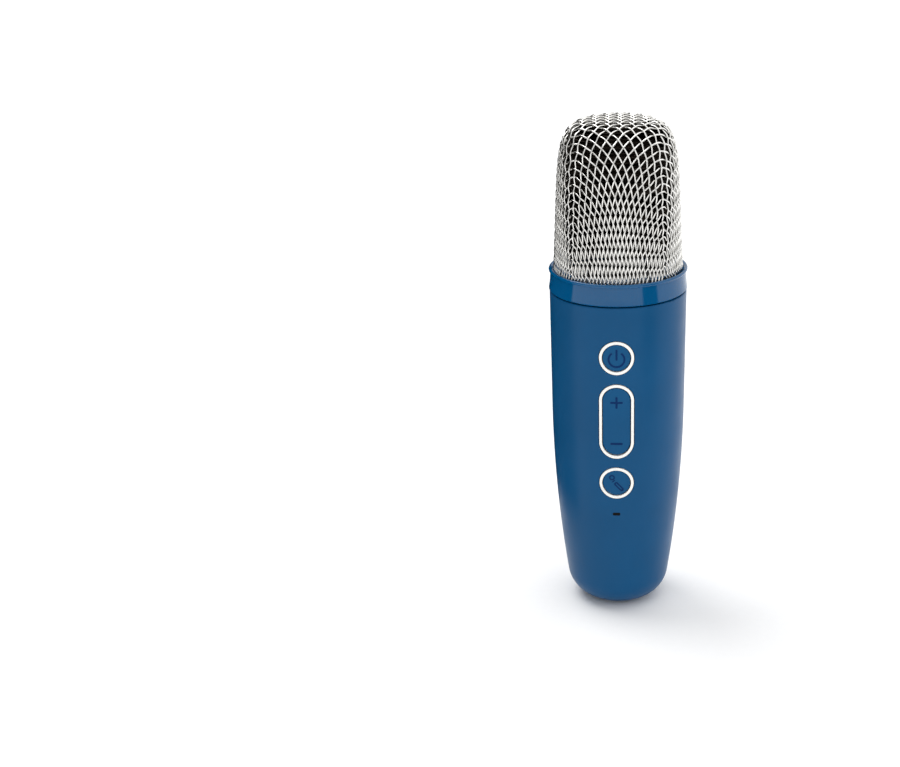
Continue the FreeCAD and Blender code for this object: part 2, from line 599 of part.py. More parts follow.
# ================================================================ collar and head
def collar():
    """Waisted glossy band with a bead lip, a bore over the neck and a shelf for the head."""
    lip_c = (COLLAR_R - LIP_R, COLLAR_TOP - LIP_R)
    join = -math.degrees(math.acos((LIP_R - COLLAR_WAIST) / LIP_R))
    waist = arc_point(lip_c, LIP_R, join)
    crown = V(lip_c[0], 0, COLLAR_TOP)
    bore = NECK_R + COLLAR_FIT
    groove = bore + SNAP_BEAD
    groove_z = BODY_TOP + BEAD_RISE
    groove_foot, groove_crest = BEAD_FOOT + GROOVE_PLAY[0], BEAD_CREST + GROOVE_PLAY[1]
    mouth = HEAD_R + HEAD_GAP
    throat = NECK_BORE_R - COLLAR_FIT
    inside = [(mouth, COLLAR_TOP - MOUTH_SLOPE), (mouth, SHELF_Z + SHELF_T), (throat, SHELF_Z + SHELF_T),
              (throat, SHELF_Z), (bore, SHELF_Z), (bore, groove_z + groove_foot),
              (groove, groove_z + groove_crest), (groove, groove_z - groove_crest),
              (bore, groove_z - groove_foot), (bore, COLLAR_Z),
              (COLLAR_R - COLLAR_EDGE, COLLAR_Z), (COLLAR_R, COLLAR_Z + COLLAR_EDGE)]
    corners = [V(r, 0, z) for r, z in inside]
    edges = [Part.makeLine(a, b) for a, b in zip(corners, corners[1:])]
    band_middle = (corners[-1] + waist) / 2 - V(BAND_HOLLOW, 0, 0)
    edges.append(Part.Arc(corners[-1], band_middle, waist).toShape())
    edges.append(Part.Arc(waist, arc_point(lip_c, LIP_R, (join + 90) / 2), crown).toShape())
    edges.append(Part.makeLine(crown, corners[0]))
    return revolve(edges)


def grille_mesh():
    return head_solid(0, HEAD_Z).cut(head_solid(HEAD_T, HEAD_Z - 1))


def grille_rim():
    outer = HEAD_R - HEAD_T - STACK_GAP
    hoop = tube(outer, outer - RIM_T, HEAD_Z, HEAD_Z + RIM_H)
    return hoop.common(head_solid(HEAD_T + STACK_GAP, HEAD_Z))


def windscreen_foam():
    foot = HEAD_Z + RIM_H + 2 * STACK_GAP
    return head_solid(FOAM_INSET, foot).cut(head_solid(FOAM_INSET + FOAM_T, foot - 1))


# ================================================================ capsule
def capsule_carrier():
    """Disc clamped between neck and collar, with a spigot, ports and a post with a cup."""
    disc_top = CARRIER_Z + CARRIER_T
    spigot_r = NECK_BORE_R - SPIGOT_GAP
    spigot = tube(spigot_r, spigot_r - SPIGOT_WALL, CARRIER_Z - SPIGOT_H, CARRIER_Z)
    cup_r = BOOT_R + BOOT_GAP + CUP_WALL
    solid = disc(NECK_R - SEAT_BITE, CARRIER_Z, disc_top).fuse([
        spigot,
        disc(TOWER_R, disc_top, CUP_Z),
        disc(cup_r, CUP_Z - CUP_WALL, CUP_Z + CUP_DEPTH),
    ])
    gussets = []
    for number in range(4):
        gusset = block(TOWER_R - 1, TOWER_R + GUSSET_REACH, -GUSSET_T / 2, GUSSET_T / 2,
                       disc_top - CARRIER_T / 2, disc_top + GUSSET_H)
        gusset = gusset.cut(rod_y(GUSSET_HOLLOW, -GUSSET_T, GUSSET_T, TOWER_R + GUSSET_HOLLOW,
                                  disc_top + GUSSET_HOLLOW + 1))
        gusset.rotate(V(0, 0, 0), V(0, 0, 1), 45 + 90 * number)
        gussets.append(gusset)
    solid = solid.fuse(gussets)
    ports = []
    for number in range(CARRIER_PORTS):
        angle = 2 * math.pi * (number + 0.5) / CARRIER_PORTS
        reach = spigot_r - SPIGOT_WALL - PORT_R - PORT_EDGE
        centre = (reach * math.sin(angle), reach * math.cos(angle))
        ports.append(disc(PORT_R, CARRIER_Z - SPIGOT_H, disc_top + 1, centre))
    bore = disc(LEAD_BORE_R, CARRIER_Z - SPIGOT_H, CUP_Z + 1)
    cup = disc(BOOT_R + BOOT_GAP, CUP_Z, CUP_Z + CUP_DEPTH + 1)
    return solid.cut(ports + [bore, cup]).removeSplitter()


def capsule_boot():
    height = BOOT_FLOOR + CAPSULE_H + BOOT_LIP
    boot = disc(BOOT_R, CUP_Z, CUP_Z + height)
    boot = boot.cut(disc(CAPSULE_R, CUP_Z + BOOT_FLOOR, CUP_Z + BOOT_FLOOR + CAPSULE_H))
    boot = boot.cut(disc(CAPSULE_R - LIP_REACH, CUP_Z + BOOT_FLOOR, CUP_Z + height + 1))
    return boot.cut(disc(LEAD_BORE_R, CUP_Z - 1, CUP_Z + BOOT_FLOOR + 1))


def capsule():
    base = CUP_Z + BOOT_FLOOR
    can = disc(CAPSULE_R, base, base + CAPSULE_H)
    rim = [edge for edge in can.Edges if abs(edge.CenterOfMass.z - base - CAPSULE_H) < 1e-6]
    can = can.makeFillet(CAPSULE_EDGE, rim)
    return can.cut(disc(SOUND_HOLE_R, base + CAPSULE_H - SOUND_HOLE_DEPTH, base + CAPSULE_H + 1))


def capsule_leads():
    """Two leads from the capsule down its post to pads at the top of the main board."""
    top = CUP_Z + BOOT_FLOOR
    leads = []
    for side in (-1, 1):
        x, pad_x = side * CAPSULE_LEAD_X, side * LEAD_PAD_X
        leads.append(lead([(x, 0, top), (x, 0, CARRIER_Z - LEAD_DROP), (pad_x, LEAD_PAD_Y, BOARD_TOP_Z + 1.5),
                           (pad_x, LEAD_PAD_Y, BOARD_TOP_Z - PAD_LAP)]))
    return Part.makeCompound(leads)


# ================================================================ keys
def trim_ring(span, z):
    far = HANDLE_TOP_R * 2
    band = pill_y(RING_R, span, -far, 0, z).cut(pill_y(KEY_HOLE_R, span, -far, 0, z))
    return band.common(handle_solid(-RING_PROUD, BODY_TOP)).cut(handle_solid(RING_DEPTH, BODY_TOP))


def round_front(solid, limit_y):
    """Round the edge round a key's face, the edges that lie wholly in front of limit_y."""
    rim = [edge for edge in solid.Edges if edge.BoundBox.YMax < limit_y]
    return solid.makeFillet(KEY_EDGE_R, rim)


def push_key(z):
    """Round key with a retaining flange and a post that reaches its switch."""
    far = HANDLE_TOP_R * 2
    front = flange_front(z)
    cap = rod_y(KEY_R, -far, front + 0.01, 0, z).common(handle_solid(KEY_RECESS, BODY_TOP))
    cap = round_front(cap, front - 0.5)
    flange = rod_y(FLANGE_R, front, front + FLANGE_T, 0, z)
    post = rod_y(POST_R, front, PLUNGER_TIP - STEM_GAP, 0, z)
    return cap.fuse([flange, post]).removeSplitter()


def volume_rocker():
    """Long key on a cross pivot, with a post over each volume switch."""
    far = HANDLE_TOP_R * 2
    span = ROCKER_SPAN - 2 * (ROCKER_END_GAP - KEY_GAP)
    back = PIVOT_Y - ROCKER_ROOT
    cap = pill_y(KEY_R, span, -far, back, VOLUME_Z).common(handle_solid(KEY_RECESS, BODY_TOP))
    cap = round_front(cap, back - ROOT_BITE)
    spine_half = KEY_R * SPINE_SHARE
    spine = block(-spine_half, spine_half, back - ROOT_BITE, PIVOT_Y + PIVOT_R,
                  VOLUME_Z - SPINE_HALF_H, VOLUME_Z + SPINE_HALF_H)
    pivot_half = PIVOT_HALF - PIVOT_END_GAP
    pivot = rod_x(PIVOT_R, -pivot_half, pivot_half, PIVOT_Y, VOLUME_Z)
    posts = [rod_y(POST_R, back - ROOT_BITE, PLUNGER_TIP - STEM_GAP, 0, VOLUME_Z + side * ROCKER_ARM)
             for side in (-1, 1)]
    return cap.fuse([spine, pivot] + posts).removeSplitter()


def key_frame():
    """Plate behind the keys: post holes, a window, two bearing lugs and legs that stand on the board."""
    plate = block(-FRAME_HALF_W, FRAME_HALF_W, FRAME_FRONT, FRAME_BACK, FRAME_Z[0], FRAME_Z[1])
    corners = [edge for edge in plate.Edges if abs(edge.BoundBox.YLength - FRAME_T) < 1e-6]
    plate = plate.makeFillet(FRAME_CORNER, corners)
    pieces = []
    for side in (-1, 1):
        x0, x1 = sorted((side * LUG_X, side * PIVOT_HALF))
        lug = rod_x(LUG_REACH, x0, x1, PIVOT_Y, VOLUME_Z)
        pieces.append(lug)
        pieces.append(block(x0, x1, PIVOT_Y, FRAME_BACK, VOLUME_Z - LUG_REACH, VOLUME_Z + LUG_REACH))
        for z in LEG_Z:
            pieces.append(rod_y(LEG_R, FRAME_FRONT, BOARD_FRONT, side * LEG_X, z))
            pieces.append(rod_y(FRAME_PIN_R, BOARD_FRONT - PIN_BITE, BOARD_BACK, side * LEG_X, z))
    frame = plate.fuse(pieces)
    holes = [rod_y(FRAME_HOLE_R, FRAME_FRONT - 1, FRAME_BACK + 0.5, 0, z) for z in switch_heights()]
    window_half = SPINE_HALF_H + WINDOW_PLAY
    holes.append(block(-LUG_X, LUG_X, FRAME_FRONT - 1, FRAME_BACK + 0.5,
                       VOLUME_Z - window_half, VOLUME_Z + window_half))
    holes.append(rod_x(PIVOT_R + PIVOT_PLAY, -PIVOT_HALF - 1, PIVOT_HALF + 1, PIVOT_Y, VOLUME_Z))
    return frame.cut(holes).removeSplitter()


def switch_heights():
    return (POWER_Z, VOLUME_Z + ROCKER_ARM, VOLUME_Z - ROCKER_ARM, MODE_Z)


def plunger_depth():
    return SWITCH_FLOOR + KEY_TRAVEL + SWITCH_SPARE


def switch_body(z):
    half = SWITCH_W / 2
    body = block(-half, half, SWITCH_FRONT, BOARD_FRONT, z - half, z + half)
    return body.cut(rod_y(PLUNGER_R + PLUNGER_PLAY, SWITCH_FRONT - 1, BOARD_FRONT - SWITCH_FLOOR, 0, z))


def switch_plunger(z):
    return rod_y(PLUNGER_R, PLUNGER_TIP, BOARD_FRONT - plunger_depth(), 0, z)


def indicator_lens():
    """Dark light guide from the slot to the lamp on the board, with a collar behind the wall."""
    half_h = SLOT_H / 2 - LENS_GAP
    span = SLOT_L - SLOT_H
    tip = BOARD_FRONT - LED_SIZE[2] - LED_GAP
    guide = pill_y(half_h, span, -HANDLE_TOP_R * 2, tip, INDICATOR_Z, upright=False)
    guide = guide.common(handle_solid(LENS_RECESS, BODY_TOP))
    half_w, low = LENS_PLATE[0] / 2, INDICATOR_Z - LENS_PLATE[1] / 2
    front = -inner_wall_y(low, half_w) + LENS_WALL_GAP
    plate = block(-half_w, half_w, front, front + LENS_PLATE[2], low, low + LENS_PLATE[1])
    return guide.fuse(plate).removeSplitter()


# ================================================================ main board and what is on it
def main_board():
    board = block(-BOARD_HALF_W, BOARD_HALF_W, BOARD_FRONT, BOARD_BACK, BOARD_BOTTOM_Z, BOARD_TOP_Z)
    corners = [edge for edge in board.Edges if abs(edge.BoundBox.YLength - BOARD_T) < 1e-6]
    board = board.makeFillet(BOARD_CORNER, corners)
    holes = [rod_y(SCREW_R + HOLE_GAP, BOARD_FRONT - 1, BOARD_BACK + 1, x, z)
             for x, z in board_screw_places()]
    holes += [rod_y(FRAME_PIN_R + FRAME_PIN_PLAY, BOARD_FRONT - 1, BOARD_BACK + 1, side * LEG_X, z)
              for side in (-1, 1) for z in LEG_Z]
    return board.cut(holes)


def on_board(size, x, z, front=False):
    """Block on the back (or front) face of the board, centred on x, z; size is width, height, thickness."""
    width, height, thickness = size
    y0, y1 = (BOARD_FRONT - thickness, BOARD_FRONT) if front else (BOARD_BACK, BOARD_BACK + thickness)
    return block(x - width / 2, x + width / 2, y0, y1, z - height / 2, z + height / 2)


def status_led():
    return on_board(LED_SIZE, 0, INDICATOR_Z, front=True)


def radio_board():
    return on_board((MODULE_W, MODULE_L, MODULE_T), 0, VOLUME_Z + MODULE_RISE)


def radio_can():
    """Metal can on the radio board; the strip above it is the printed aerial."""
    low = VOLUME_Z + MODULE_RISE - MODULE_L / 2 + CAN_EDGE
    half = MODULE_W / 2 - CAN_EDGE
    can = block(-half, half, BOARD_BACK + MODULE_T, CAN_TOP, low, low + MODULE_L - CAN_EDGE - AERIAL_H)
    edges = [edge for edge in can.Edges if edge.BoundBox.YMin > BOARD_BACK + MODULE_T + 0.01]
    return can.makeFillet(CAN_CORNER, edges)


def audio_chip():
    return on_board(AUDIO_CHIP, 0, POWER_Z - AUDIO_CHIP_DROP)


def charger_chip():
    return on_board(CHARGER_CHIP, CHARGER_X, CELL_Z + CHARGER_RISE)


def crystal():
    return on_board(CRYSTAL, 0, VOLUME_Z + MODULE_RISE + MODULE_L / 2 + CRYSTAL_GAP)


def power_inductor():
    return on_board(INDUCTOR, INDUCTOR_X, CELL_Z + CHARGER_RISE)


def filter_capacitors():
    """Rows of small capacitors beside the chips."""
    places = [(side * CAPACITOR_X, POWER_Z - CAPACITOR_DROP + CAPACITOR_PITCH * row)
              for side in (-1, 1) for row in range(3)]
    places += [(CAPACITOR_ROW_X + CAPACITOR_ROW_PITCH * column, CELL_Z + CAPACITOR_ROW_RISE)
               for column in range(6)]
    return Part.makeCompound([on_board(CAPACITOR, x, z) for x, z in places])


def battery_socket():
    """Two-way socket on the back of the board, its mouth downwards."""
    wall = SOCKET_WALL
    body = on_board((PLUG_W, PLUG_H, PLUG_DEPTH), 0, SOCKET_Z)
    mouth = block(-PLUG_W / 2 + wall, PLUG_W / 2 - wall, BOARD_BACK + wall, BOARD_BACK + PLUG_DEPTH - wall,
                  SOCKET_Z - PLUG_H, PLUG_TOP + PLUG_PLAY)
    return body.cut(mouth)


def battery_plug():
    wall = SOCKET_WALL + PLUG_PLAY
    half = PLUG_W / 2 - wall
    y0, y1 = BOARD_BACK + wall, BOARD_BACK + PLUG_DEPTH - wall
    return block(-half, half, y0, y1, PLUG_TOP - PLUG_H, PLUG_TOP)


# ================================================================ battery
def battery_cell():
    cell = disc(CELL_R, CELL_Z, CELL_Z + CELL_L, (0, CELL_Y))
    ends = [edge for edge in cell.Edges if edge.BoundBox.ZLength < 1e-6]
    return cell.makeFillet(CELL_EDGE, ends)


def battery_tabs():
    tabs = []
    front, back = CELL_Y - CELL_R + TAB_SPAN[0], CELL_Y + TAB_SPAN[1]
    for z in (CELL_Z - TAB_T, CELL_Z + CELL_L):
        tabs.append(block(-TAB_W / 2, TAB_W / 2, front, back, z, z + TAB_T))
    return Part.makeCompound(tabs)


def battery_pad():
    low = VOLUME_Z - PAD_DROP - PAD_H / 2
    return block(-PAD_W / 2, PAD_W / 2, CAN_TOP + PAD_GAP, CAN_TOP + PAD_GAP + PAD_T, low, low + PAD_H)


def battery_leads():
    """A short lead from the lower tab and a long one down beside the radio can, both into the plug."""
    plug_y = BOARD_BACK + PLUG_DEPTH / 2
    plug_z = PLUG_TOP - PLUG_H
    short_y, short_low = CELL_Y - CELL_R + SHORT_LEAD_IN, plug_z - SHORT_LEAD_DROP
    short = lead([(PLUG_PITCH, short_y, CELL_Z - TAB_T), (PLUG_PITCH, short_y, short_low),
                  (PLUG_PITCH, plug_y, short_low), (PLUG_PITCH, plug_y, plug_z)])
    tab_y, tab_z = CELL_Y - CELL_R + LONG_LEAD_IN, CELL_Z + CELL_L + TAB_T
    side_x, side_y = LONG_LEAD_EDGE - BOARD_HALF_W, CAN_TOP + LEAD_CLEAR + LEAD_R
    high, low = tab_z + LONG_LEAD_RISE, plug_z - LONG_LEAD_DROP
    long = lead([(-PLUG_PITCH, tab_y, tab_z), (-PLUG_PITCH, tab_y, high), (side_x, side_y, high),
                 (side_x, side_y, low), (-PLUG_PITCH, plug_y, low), (-PLUG_PITCH, plug_y, plug_z)])
    return Part.makeCompound([short, long])


# ================================================================ charging socket
def usb_shell():
    outer = pill_z(USB_W, USB_H, USB_INSET, USB_TOP)
    return outer.cut(pill_z(USB_W - 2 * USB_T, USB_H - 2 * USB_T, USB_INSET - 1, USB_TOP - USB_T))


def usb_tongue():
    """Contact tongue and the block that holds it at the back of the socket."""
    stop_z = USB_TOP - USB_T - USB_STOP_H
    back = pill_z(USB_W - 2 * USB_T, USB_H - 2 * USB_T, stop_z, USB_TOP - USB_T)
    blade = block(-TONGUE_W / 2, TONGUE_W / 2, -TONGUE_T / 2, TONGUE_T / 2,
                  USB_INSET + TONGUE_SETBACK, stop_z + USB_STOP_BITE)
    return back.fuse(blade).removeSplitter()


def usb_board():
    half = USB_BOARD_W / 2
    board = block(-half, half, USB_BACK, USB_BOARD_BACK, USB_BOARD_Z, USB_BOARD_Z + USB_BOARD_L)
    holes = [rod_y(SCREW_R + HOLE_GAP, USB_BACK - 1, USB_BOARD_BACK + 1, side * USB_SCREW_X, USB_SCREW_Z)
             for side in (-1, 1)]
    return board.cut(holes)


def usb_leads():
    """Two leads from the socket's board up to the lower edge of the main board."""
    leads = []
    for side in (-1, 1):
        x, pad_x = side * USB_LEAD_X, side * LEAD_PAD_X
        leads.append(lead([(x, USB_BACK, USB_PAD_Z), (x, USB_BACK - USB_LEAD_OUT, USB_PAD_Z),
                           (pad_x, LEAD_PAD_Y, BOARD_BOTTOM_Z - 1),
                           (pad_x, LEAD_PAD_Y, BOARD_BOTTOM_Z + PAD_LAP)]))
    return Part.makeCompound(leads)


# ================================================================ screws
def shell_screws():
    return Part.makeCompound([screw(x, z, SCREW_SEAT_Y - SHELL_SCREW_L, SCREW_SEAT_Y)
                              for x, z in shell_screw_places()])


def board_screws():
    return Part.makeCompound([screw(x, z, BOARD_BACK - BOARD_SCREW_L, BOARD_BACK)
                              for x, z in board_screw_places()])


def usb_screws():
    return Part.makeCompound([screw(side * USB_SCREW_X, USB_SCREW_Z, USB_BACK + BOARD_SCREW_L, USB_BACK)
                              for side in (-1, 1)])


NODES = {
    "front_shell": front_shell,
    "rear_shell": rear_shell,
    "collar": collar,
    "grille_mesh": grille_mesh,
    "grille_rim": grille_rim,
    "windscreen_foam": windscreen_foam,
    "capsule_carrier": capsule_carrier,
    "capsule_boot": capsule_boot,
    "capsule": capsule,
    "capsule_leads": capsule_leads,
    "power_key": lambda: push_key(POWER_Z),
    "power_ring": lambda: trim_ring(0, POWER_Z),
    "volume_rocker": volume_rocker,
    "volume_ring": lambda: trim_ring(ROCKER_SPAN, VOLUME_Z),
    "mode_key": lambda: push_key(MODE_Z),
    "mode_ring": lambda: trim_ring(0, MODE_Z),
    "key_frame": key_frame,
    "indicator_lens": indicator_lens,
    "status_led": status_led,
    "main_board": main_board,
    "radio_can": radio_can,
    "radio_board": radio_board,
    "audio_chip": audio_chip,
    "charger_chip": charger_chip,
    "crystal": crystal,
    "power_inductor": power_inductor,
    "filter_capacitors": filter_capacitors,
    "battery_socket": battery_socket,
    "battery_plug": battery_plug,
    "battery_cell": battery_cell,
    "battery_tabs": battery_tabs,
    "battery_pad": battery_pad,
    "battery_leads": battery_leads,
    "usb_shell": usb_shell,
    "usb_tongue": usb_tongue,
    "usb_board": usb_board,
    "usb_leads": usb_leads,
    "shell_screws": shell_screws,
    "board_screws": board_screws,
    "usb_screws": usb_screws,
}
for name, height in zip(("power", "volume_up", "volume_down", "mode"), switch_heights()):
    NODES[name + "_switch"] = lambda z=height: switch_body(z)
    NODES[name + "_plunger"] = lambda z=height: switch_plunger(z)

os.makedirs("parts", exist_ok=True)
for node, make in NODES.items():
    solid = make()
    if not solid.isValid():
        print("not valid:", node)
    solid.exportStep("parts/" + node + ".step")
    print(node, len(solid.Solids), round(solid.Volume, 2))
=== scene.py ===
import math

import bpy
import numpy as np
from mathutils import Matrix, Vector


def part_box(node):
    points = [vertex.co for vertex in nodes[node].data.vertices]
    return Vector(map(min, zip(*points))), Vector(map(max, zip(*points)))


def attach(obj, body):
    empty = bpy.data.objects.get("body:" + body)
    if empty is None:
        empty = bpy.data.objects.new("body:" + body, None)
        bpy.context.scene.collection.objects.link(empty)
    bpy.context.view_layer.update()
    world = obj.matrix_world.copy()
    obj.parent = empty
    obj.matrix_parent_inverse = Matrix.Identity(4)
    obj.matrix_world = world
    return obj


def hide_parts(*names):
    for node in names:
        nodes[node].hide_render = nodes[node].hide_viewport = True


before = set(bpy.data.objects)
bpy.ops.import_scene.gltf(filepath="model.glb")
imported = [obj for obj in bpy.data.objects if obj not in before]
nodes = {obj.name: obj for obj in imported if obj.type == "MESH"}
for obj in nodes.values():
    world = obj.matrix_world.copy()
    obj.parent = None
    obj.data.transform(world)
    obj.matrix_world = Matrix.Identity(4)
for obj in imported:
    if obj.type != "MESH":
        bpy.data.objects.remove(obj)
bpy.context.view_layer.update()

MM = 0.001


# ------------------------------------------------------------------------------------------- materials
def linear(code):
    """An sRGB hex colour as the linear red, green, blue and alpha that a shader takes."""
    parts = [int(code[k:k + 2], 16) / 255 for k in (0, 2, 4)]
    return [p / 12.92 if p <= 0.04045 else ((p + 0.055) / 1.055) ** 2.4 for p in parts] + [1.0]


def add(tree, kind, wires=(), **settings):
    """Adds a node. Settings are its own; wires holds pairs of an input and a socket or a plain value."""
    node = tree.nodes.new(kind)
    for name, value in settings.items():
        setattr(node, name, value)
    for name, value in dict(wires).items():
        if isinstance(value, bpy.types.NodeSocket):
            tree.links.new(value, node.inputs[name])
        else:
            node.inputs[name].default_value = value
    return node


def new_finish(name):
    """An empty material and the plain socket of Object coordinates."""
    material = bpy.data.materials.new(name)
    material.use_nodes = True
    material.node_tree.nodes.clear()
    tree = material.node_tree
    place = add(tree, "ShaderNodeTexCoord").outputs["Object"]
    return material, tree, place


def close_finish(tree, wires):
    """Ends a material with its shader and output."""
    shader = add(tree, "ShaderNodeBsdfPrincipled", wires)
    add(tree, "ShaderNodeOutputMaterial", {"Surface": shader.outputs[0]})


def moulded_plastic(name, colour, deep, roughness, grain=0.35, grain_depth=0.004, coat=0.0, smudge=0.05,
                    shine=0.5):
    """Injection-moulded plastic: an even body colour that drifts a little over centimetres, the fine
    grain of a spark-eroded mould (sizes in mm), and faint differences of polish from handling."""
    material, tree, place = new_finish(name)
    drift = add(tree, "ShaderNodeTexNoise", {"Vector": place, "Scale": 1 / (24 * MM), "Detail": 2.0})
    tone = add(tree, "ShaderNodeValToRGB", {"Fac": drift.outputs["Fac"]})
    tone.color_ramp.elements[0].position, tone.color_ramp.elements[1].position = 0.35, 0.65
    tone.color_ramp.elements[0].color, tone.color_ramp.elements[1].color = linear(deep), linear(colour)
    polish = add(tree, "ShaderNodeTexNoise", {"Vector": place, "Scale": 1 / (9 * MM), "Detail": 3.0})
    rough = add(tree, "ShaderNodeMapRange", {"Value": polish.outputs["Fac"], "From Min": 0.3, "From Max": 0.7,
                                             "To Min": roughness - smudge, "To Max": roughness + smudge})
    mould = add(tree, "ShaderNodeTexNoise", {"Vector": place, "Scale": 1 / (grain * MM), "Detail": 1.0})
    relief = add(tree, "ShaderNodeBump", {"Height": mould.outputs["Fac"], "Distance": grain_depth * MM,
                                          "Strength": 1.0})
    close_finish(tree, {"Base Color": tone.outputs["Color"], "Roughness": rough.outputs["Result"],
                        "Normal": relief.outputs["Normal"], "IOR": 1.5, "Coat Weight": coat,
                        "Coat Roughness": 0.06, "Specular IOR Level": shine})
    return material


def drawn_metal(name, colour, shade, roughness, line=0.15, depth=0.002, across=(1, 1, 8)):
    """Metal that was drawn, rolled or turned: fine lines across one direction and a soft uneven tone."""
    material, tree, place = new_finish(name)
    stretch = add(tree, "ShaderNodeMapping", {"Vector": place, "Scale": across})
    lines = add(tree, "ShaderNodeTexNoise", {"Vector": stretch.outputs["Vector"],
                                             "Scale": 1 / (line * 8 * MM), "Detail": 2.0})
    cloud = add(tree, "ShaderNodeTexNoise", {"Vector": place, "Scale": 1 / (3 * MM), "Detail": 2.0})
    tone = add(tree, "ShaderNodeValToRGB", {"Fac": cloud.outputs["Fac"]})
    tone.color_ramp.elements[0].position, tone.color_ramp.elements[1].position = 0.3, 0.7
    tone.color_ramp.elements[0].color, tone.color_ramp.elements[1].color = linear(shade), linear(colour)
    rough = add(tree, "ShaderNodeMapRange", {"Value": lines.outputs["Fac"], "From Min": 0.3, "From Max": 0.7,
                                             "To Min": roughness * 0.8, "To Max": roughness * 1.2})
    relief = add(tree, "ShaderNodeBump", {"Height": lines.outputs["Fac"], "Distance": depth * MM,
                                          "Strength": 1.0})
    close_finish(tree, {"Base Color": tone.outputs["Color"], "Metallic": 1.0,
                        "Roughness": rough.outputs["Result"], "Normal": relief.outputs["Normal"]})
    return material


def open_cell_foam(name, colour, shaded_pit, cell=0.45):
    """Reticulated polyurethane foam, cut from a block: round open cells about half a millimetre wide, so the
    surface is matt and pitted. The hollow of each cell is coloured darker than its walls, and that darkening
    is painted shade in the pits."""
    material, tree, place = new_finish(name)
    cells = add(tree, "ShaderNodeTexVoronoi", {"Vector": place, "Scale": 1 / (cell * 2 * MM)})
    tone = add(tree, "ShaderNodeValToRGB", {"Fac": cells.outputs["Distance"]})
    # The darker end of this ramp is painted shade: the cell hollows take it, and the walls keep the foam's
    # own colour.
    tone.color_ramp.elements[0].position, tone.color_ramp.elements[1].position = 0.15, 0.6
    tone.color_ramp.elements[0].color, tone.color_ramp.elements[1].color = linear(shaded_pit), linear(colour)
    relief = add(tree, "ShaderNodeBump", {"Height": cells.outputs["Distance"], "Distance": 0.25 * MM,
                                          "Strength": 1.0})
    close_finish(tree, {"Base Color": tone.outputs["Color"], "Roughness": 0.95, "IOR": 1.45,
                        "Specular IOR Level": 0.15, "Normal": relief.outputs["Normal"]})
    return material


def laminate(name, resist, trace):
    """Glass-epoxy circuit board: green solder resist over copper, so the tracks show as a paler, slightly
    raised maze about 0.4 mm wide, under a thin gloss."""
    material, tree, place = new_finish(name)
    maze = add(tree, "ShaderNodeTexBrick", {"Vector": place, "Scale": 1 / (6 * MM), "Mortar Size": 0.06,
                                            "Color1": linear(resist), "Color2": linear(resist),
                                            "Mortar": linear(trace)})
    relief = add(tree, "ShaderNodeBump", {"Height": maze.outputs["Fac"], "Distance": 0.03 * MM,
                                          "Strength": 0.6})
    close_finish(tree, {"Base Color": maze.outputs["Color"], "Roughness": 0.35, "IOR": 1.5,
                        "Coat Weight": 0.4, "Coat Roughness": 0.15, "Normal": relief.outputs["Normal"]})
    return material


finish = {
    # Satin blue ABS: soft wide highlights on an even, saturated blue.
    "body_blue": moulded_plastic("satin_blue_abs", "004E7D", "004A77", 0.34, shine=0.18),
    # Polished ABS of the collar: the same blue, but it mirrors its surroundings sharply.
    "gloss_blue": moulded_plastic("polished_blue_abs", "005283", "004E7D", 0.11, grain_depth=0.0008,
                                  smudge=0.03, shine=0.45),
    # The keys come from a finer mould: a little paler and more matt than the handle.
    "key_blue": moulded_plastic("matt_blue_abs", "005181", "004D7B", 0.42, grain=0.3, shine=0.18),
    # Warm white ABS of the trim rings, smooth and bright.
    "trim_white": moulded_plastic("warm_white_abs", "FFFDF9", "FDFAF4", 0.22, grain_depth=0.001, coat=0.3),
    # Nickel-plated steel wire: bright, lightly drawn along its length.
    "woven_wire": drawn_metal("nickel_plated_wire", "FAF9F6", "EEEDE9", 0.2),
    # Bright zinc-plated steel of screws, tabs and cans.
    "steel": drawn_metal("zinc_plated_steel", "C6C8CA", "9FA2A6", 0.3),
    # Black-brown foam that stops the wind; the second, darker colour is painted shade in its cell pits.
    "foam": open_cell_foam("open_cell_foam", "3A332D", "17130F"),
    # Black polypropylene of the capsule carrier.
    "black_plastic": moulded_plastic("black_polypropylene", "1B1B1D", "131315", 0.5),
    # Silicone boot: matt, soft-looking grey-black.
    "rubber": moulded_plastic("silicone_rubber", "2A2A2C", "202022", 0.7, grain=0.5),
    # Unfilled nylon of the plugs and sockets: milky white.
    "white_plastic": moulded_plastic("natural_nylon", "E9E4D6", "DED8C8", 0.4),
    "board_green": laminate("glass_epoxy_board", "0F5B38", "3E8F5A"),
    # Moulded epoxy of the chips: dark grey, faintly gritty.
    "chip_black": moulded_plastic("moulded_epoxy", "1E1F21", "151618", 0.55, grain=0.2),
    # Smoked acrylic of the indicator: nearly black until the light behind it is on.
    "lens_black": moulded_plastic("smoked_acrylic", "050607", "030405", 0.2, grain_depth=0.0005, shine=0.1),
    # Cream body of the light-emitting diode.
    "led_white": moulded_plastic("diode_resin", "F2EDDC", "E9E2CC", 0.25),
    # Shrink film round the cell: mid blue-grey with the gloss of stretched PVC.
    "cell_wrap": moulded_plastic("pvc_shrink_film", "3C6E8C", "35647F", 0.25, coat=0.5),
    # Anodised aluminium can of the capsule: pale grey and fine-lined.
    "aluminium": drawn_metal("anodised_aluminium", "D2D4D6", "B8BABD", 0.35),
    # PVC insulation of the leads.
    "lead": moulded_plastic("pvc_insulation", "A3231E", "8F1D19", 0.4),
    # Sintered ceramic of the capacitors: tan and chalky.
    "ceramic": moulded_plastic("sintered_ceramic", "B79A74", "A5885F", 0.6),
}
for node in nodes.values():
    for place in node.material_slots:
        place.material = finish[place.material.name.split(".")[0]]


# --------------------------------------------------------------------------------------- modelling hands
def let_go():
    """Back to object mode with nothing selected."""
    if bpy.context.object and bpy.context.object.mode != "OBJECT":
        bpy.ops.object.mode_set(mode="OBJECT")
    bpy.ops.object.select_all(action="DESELECT")


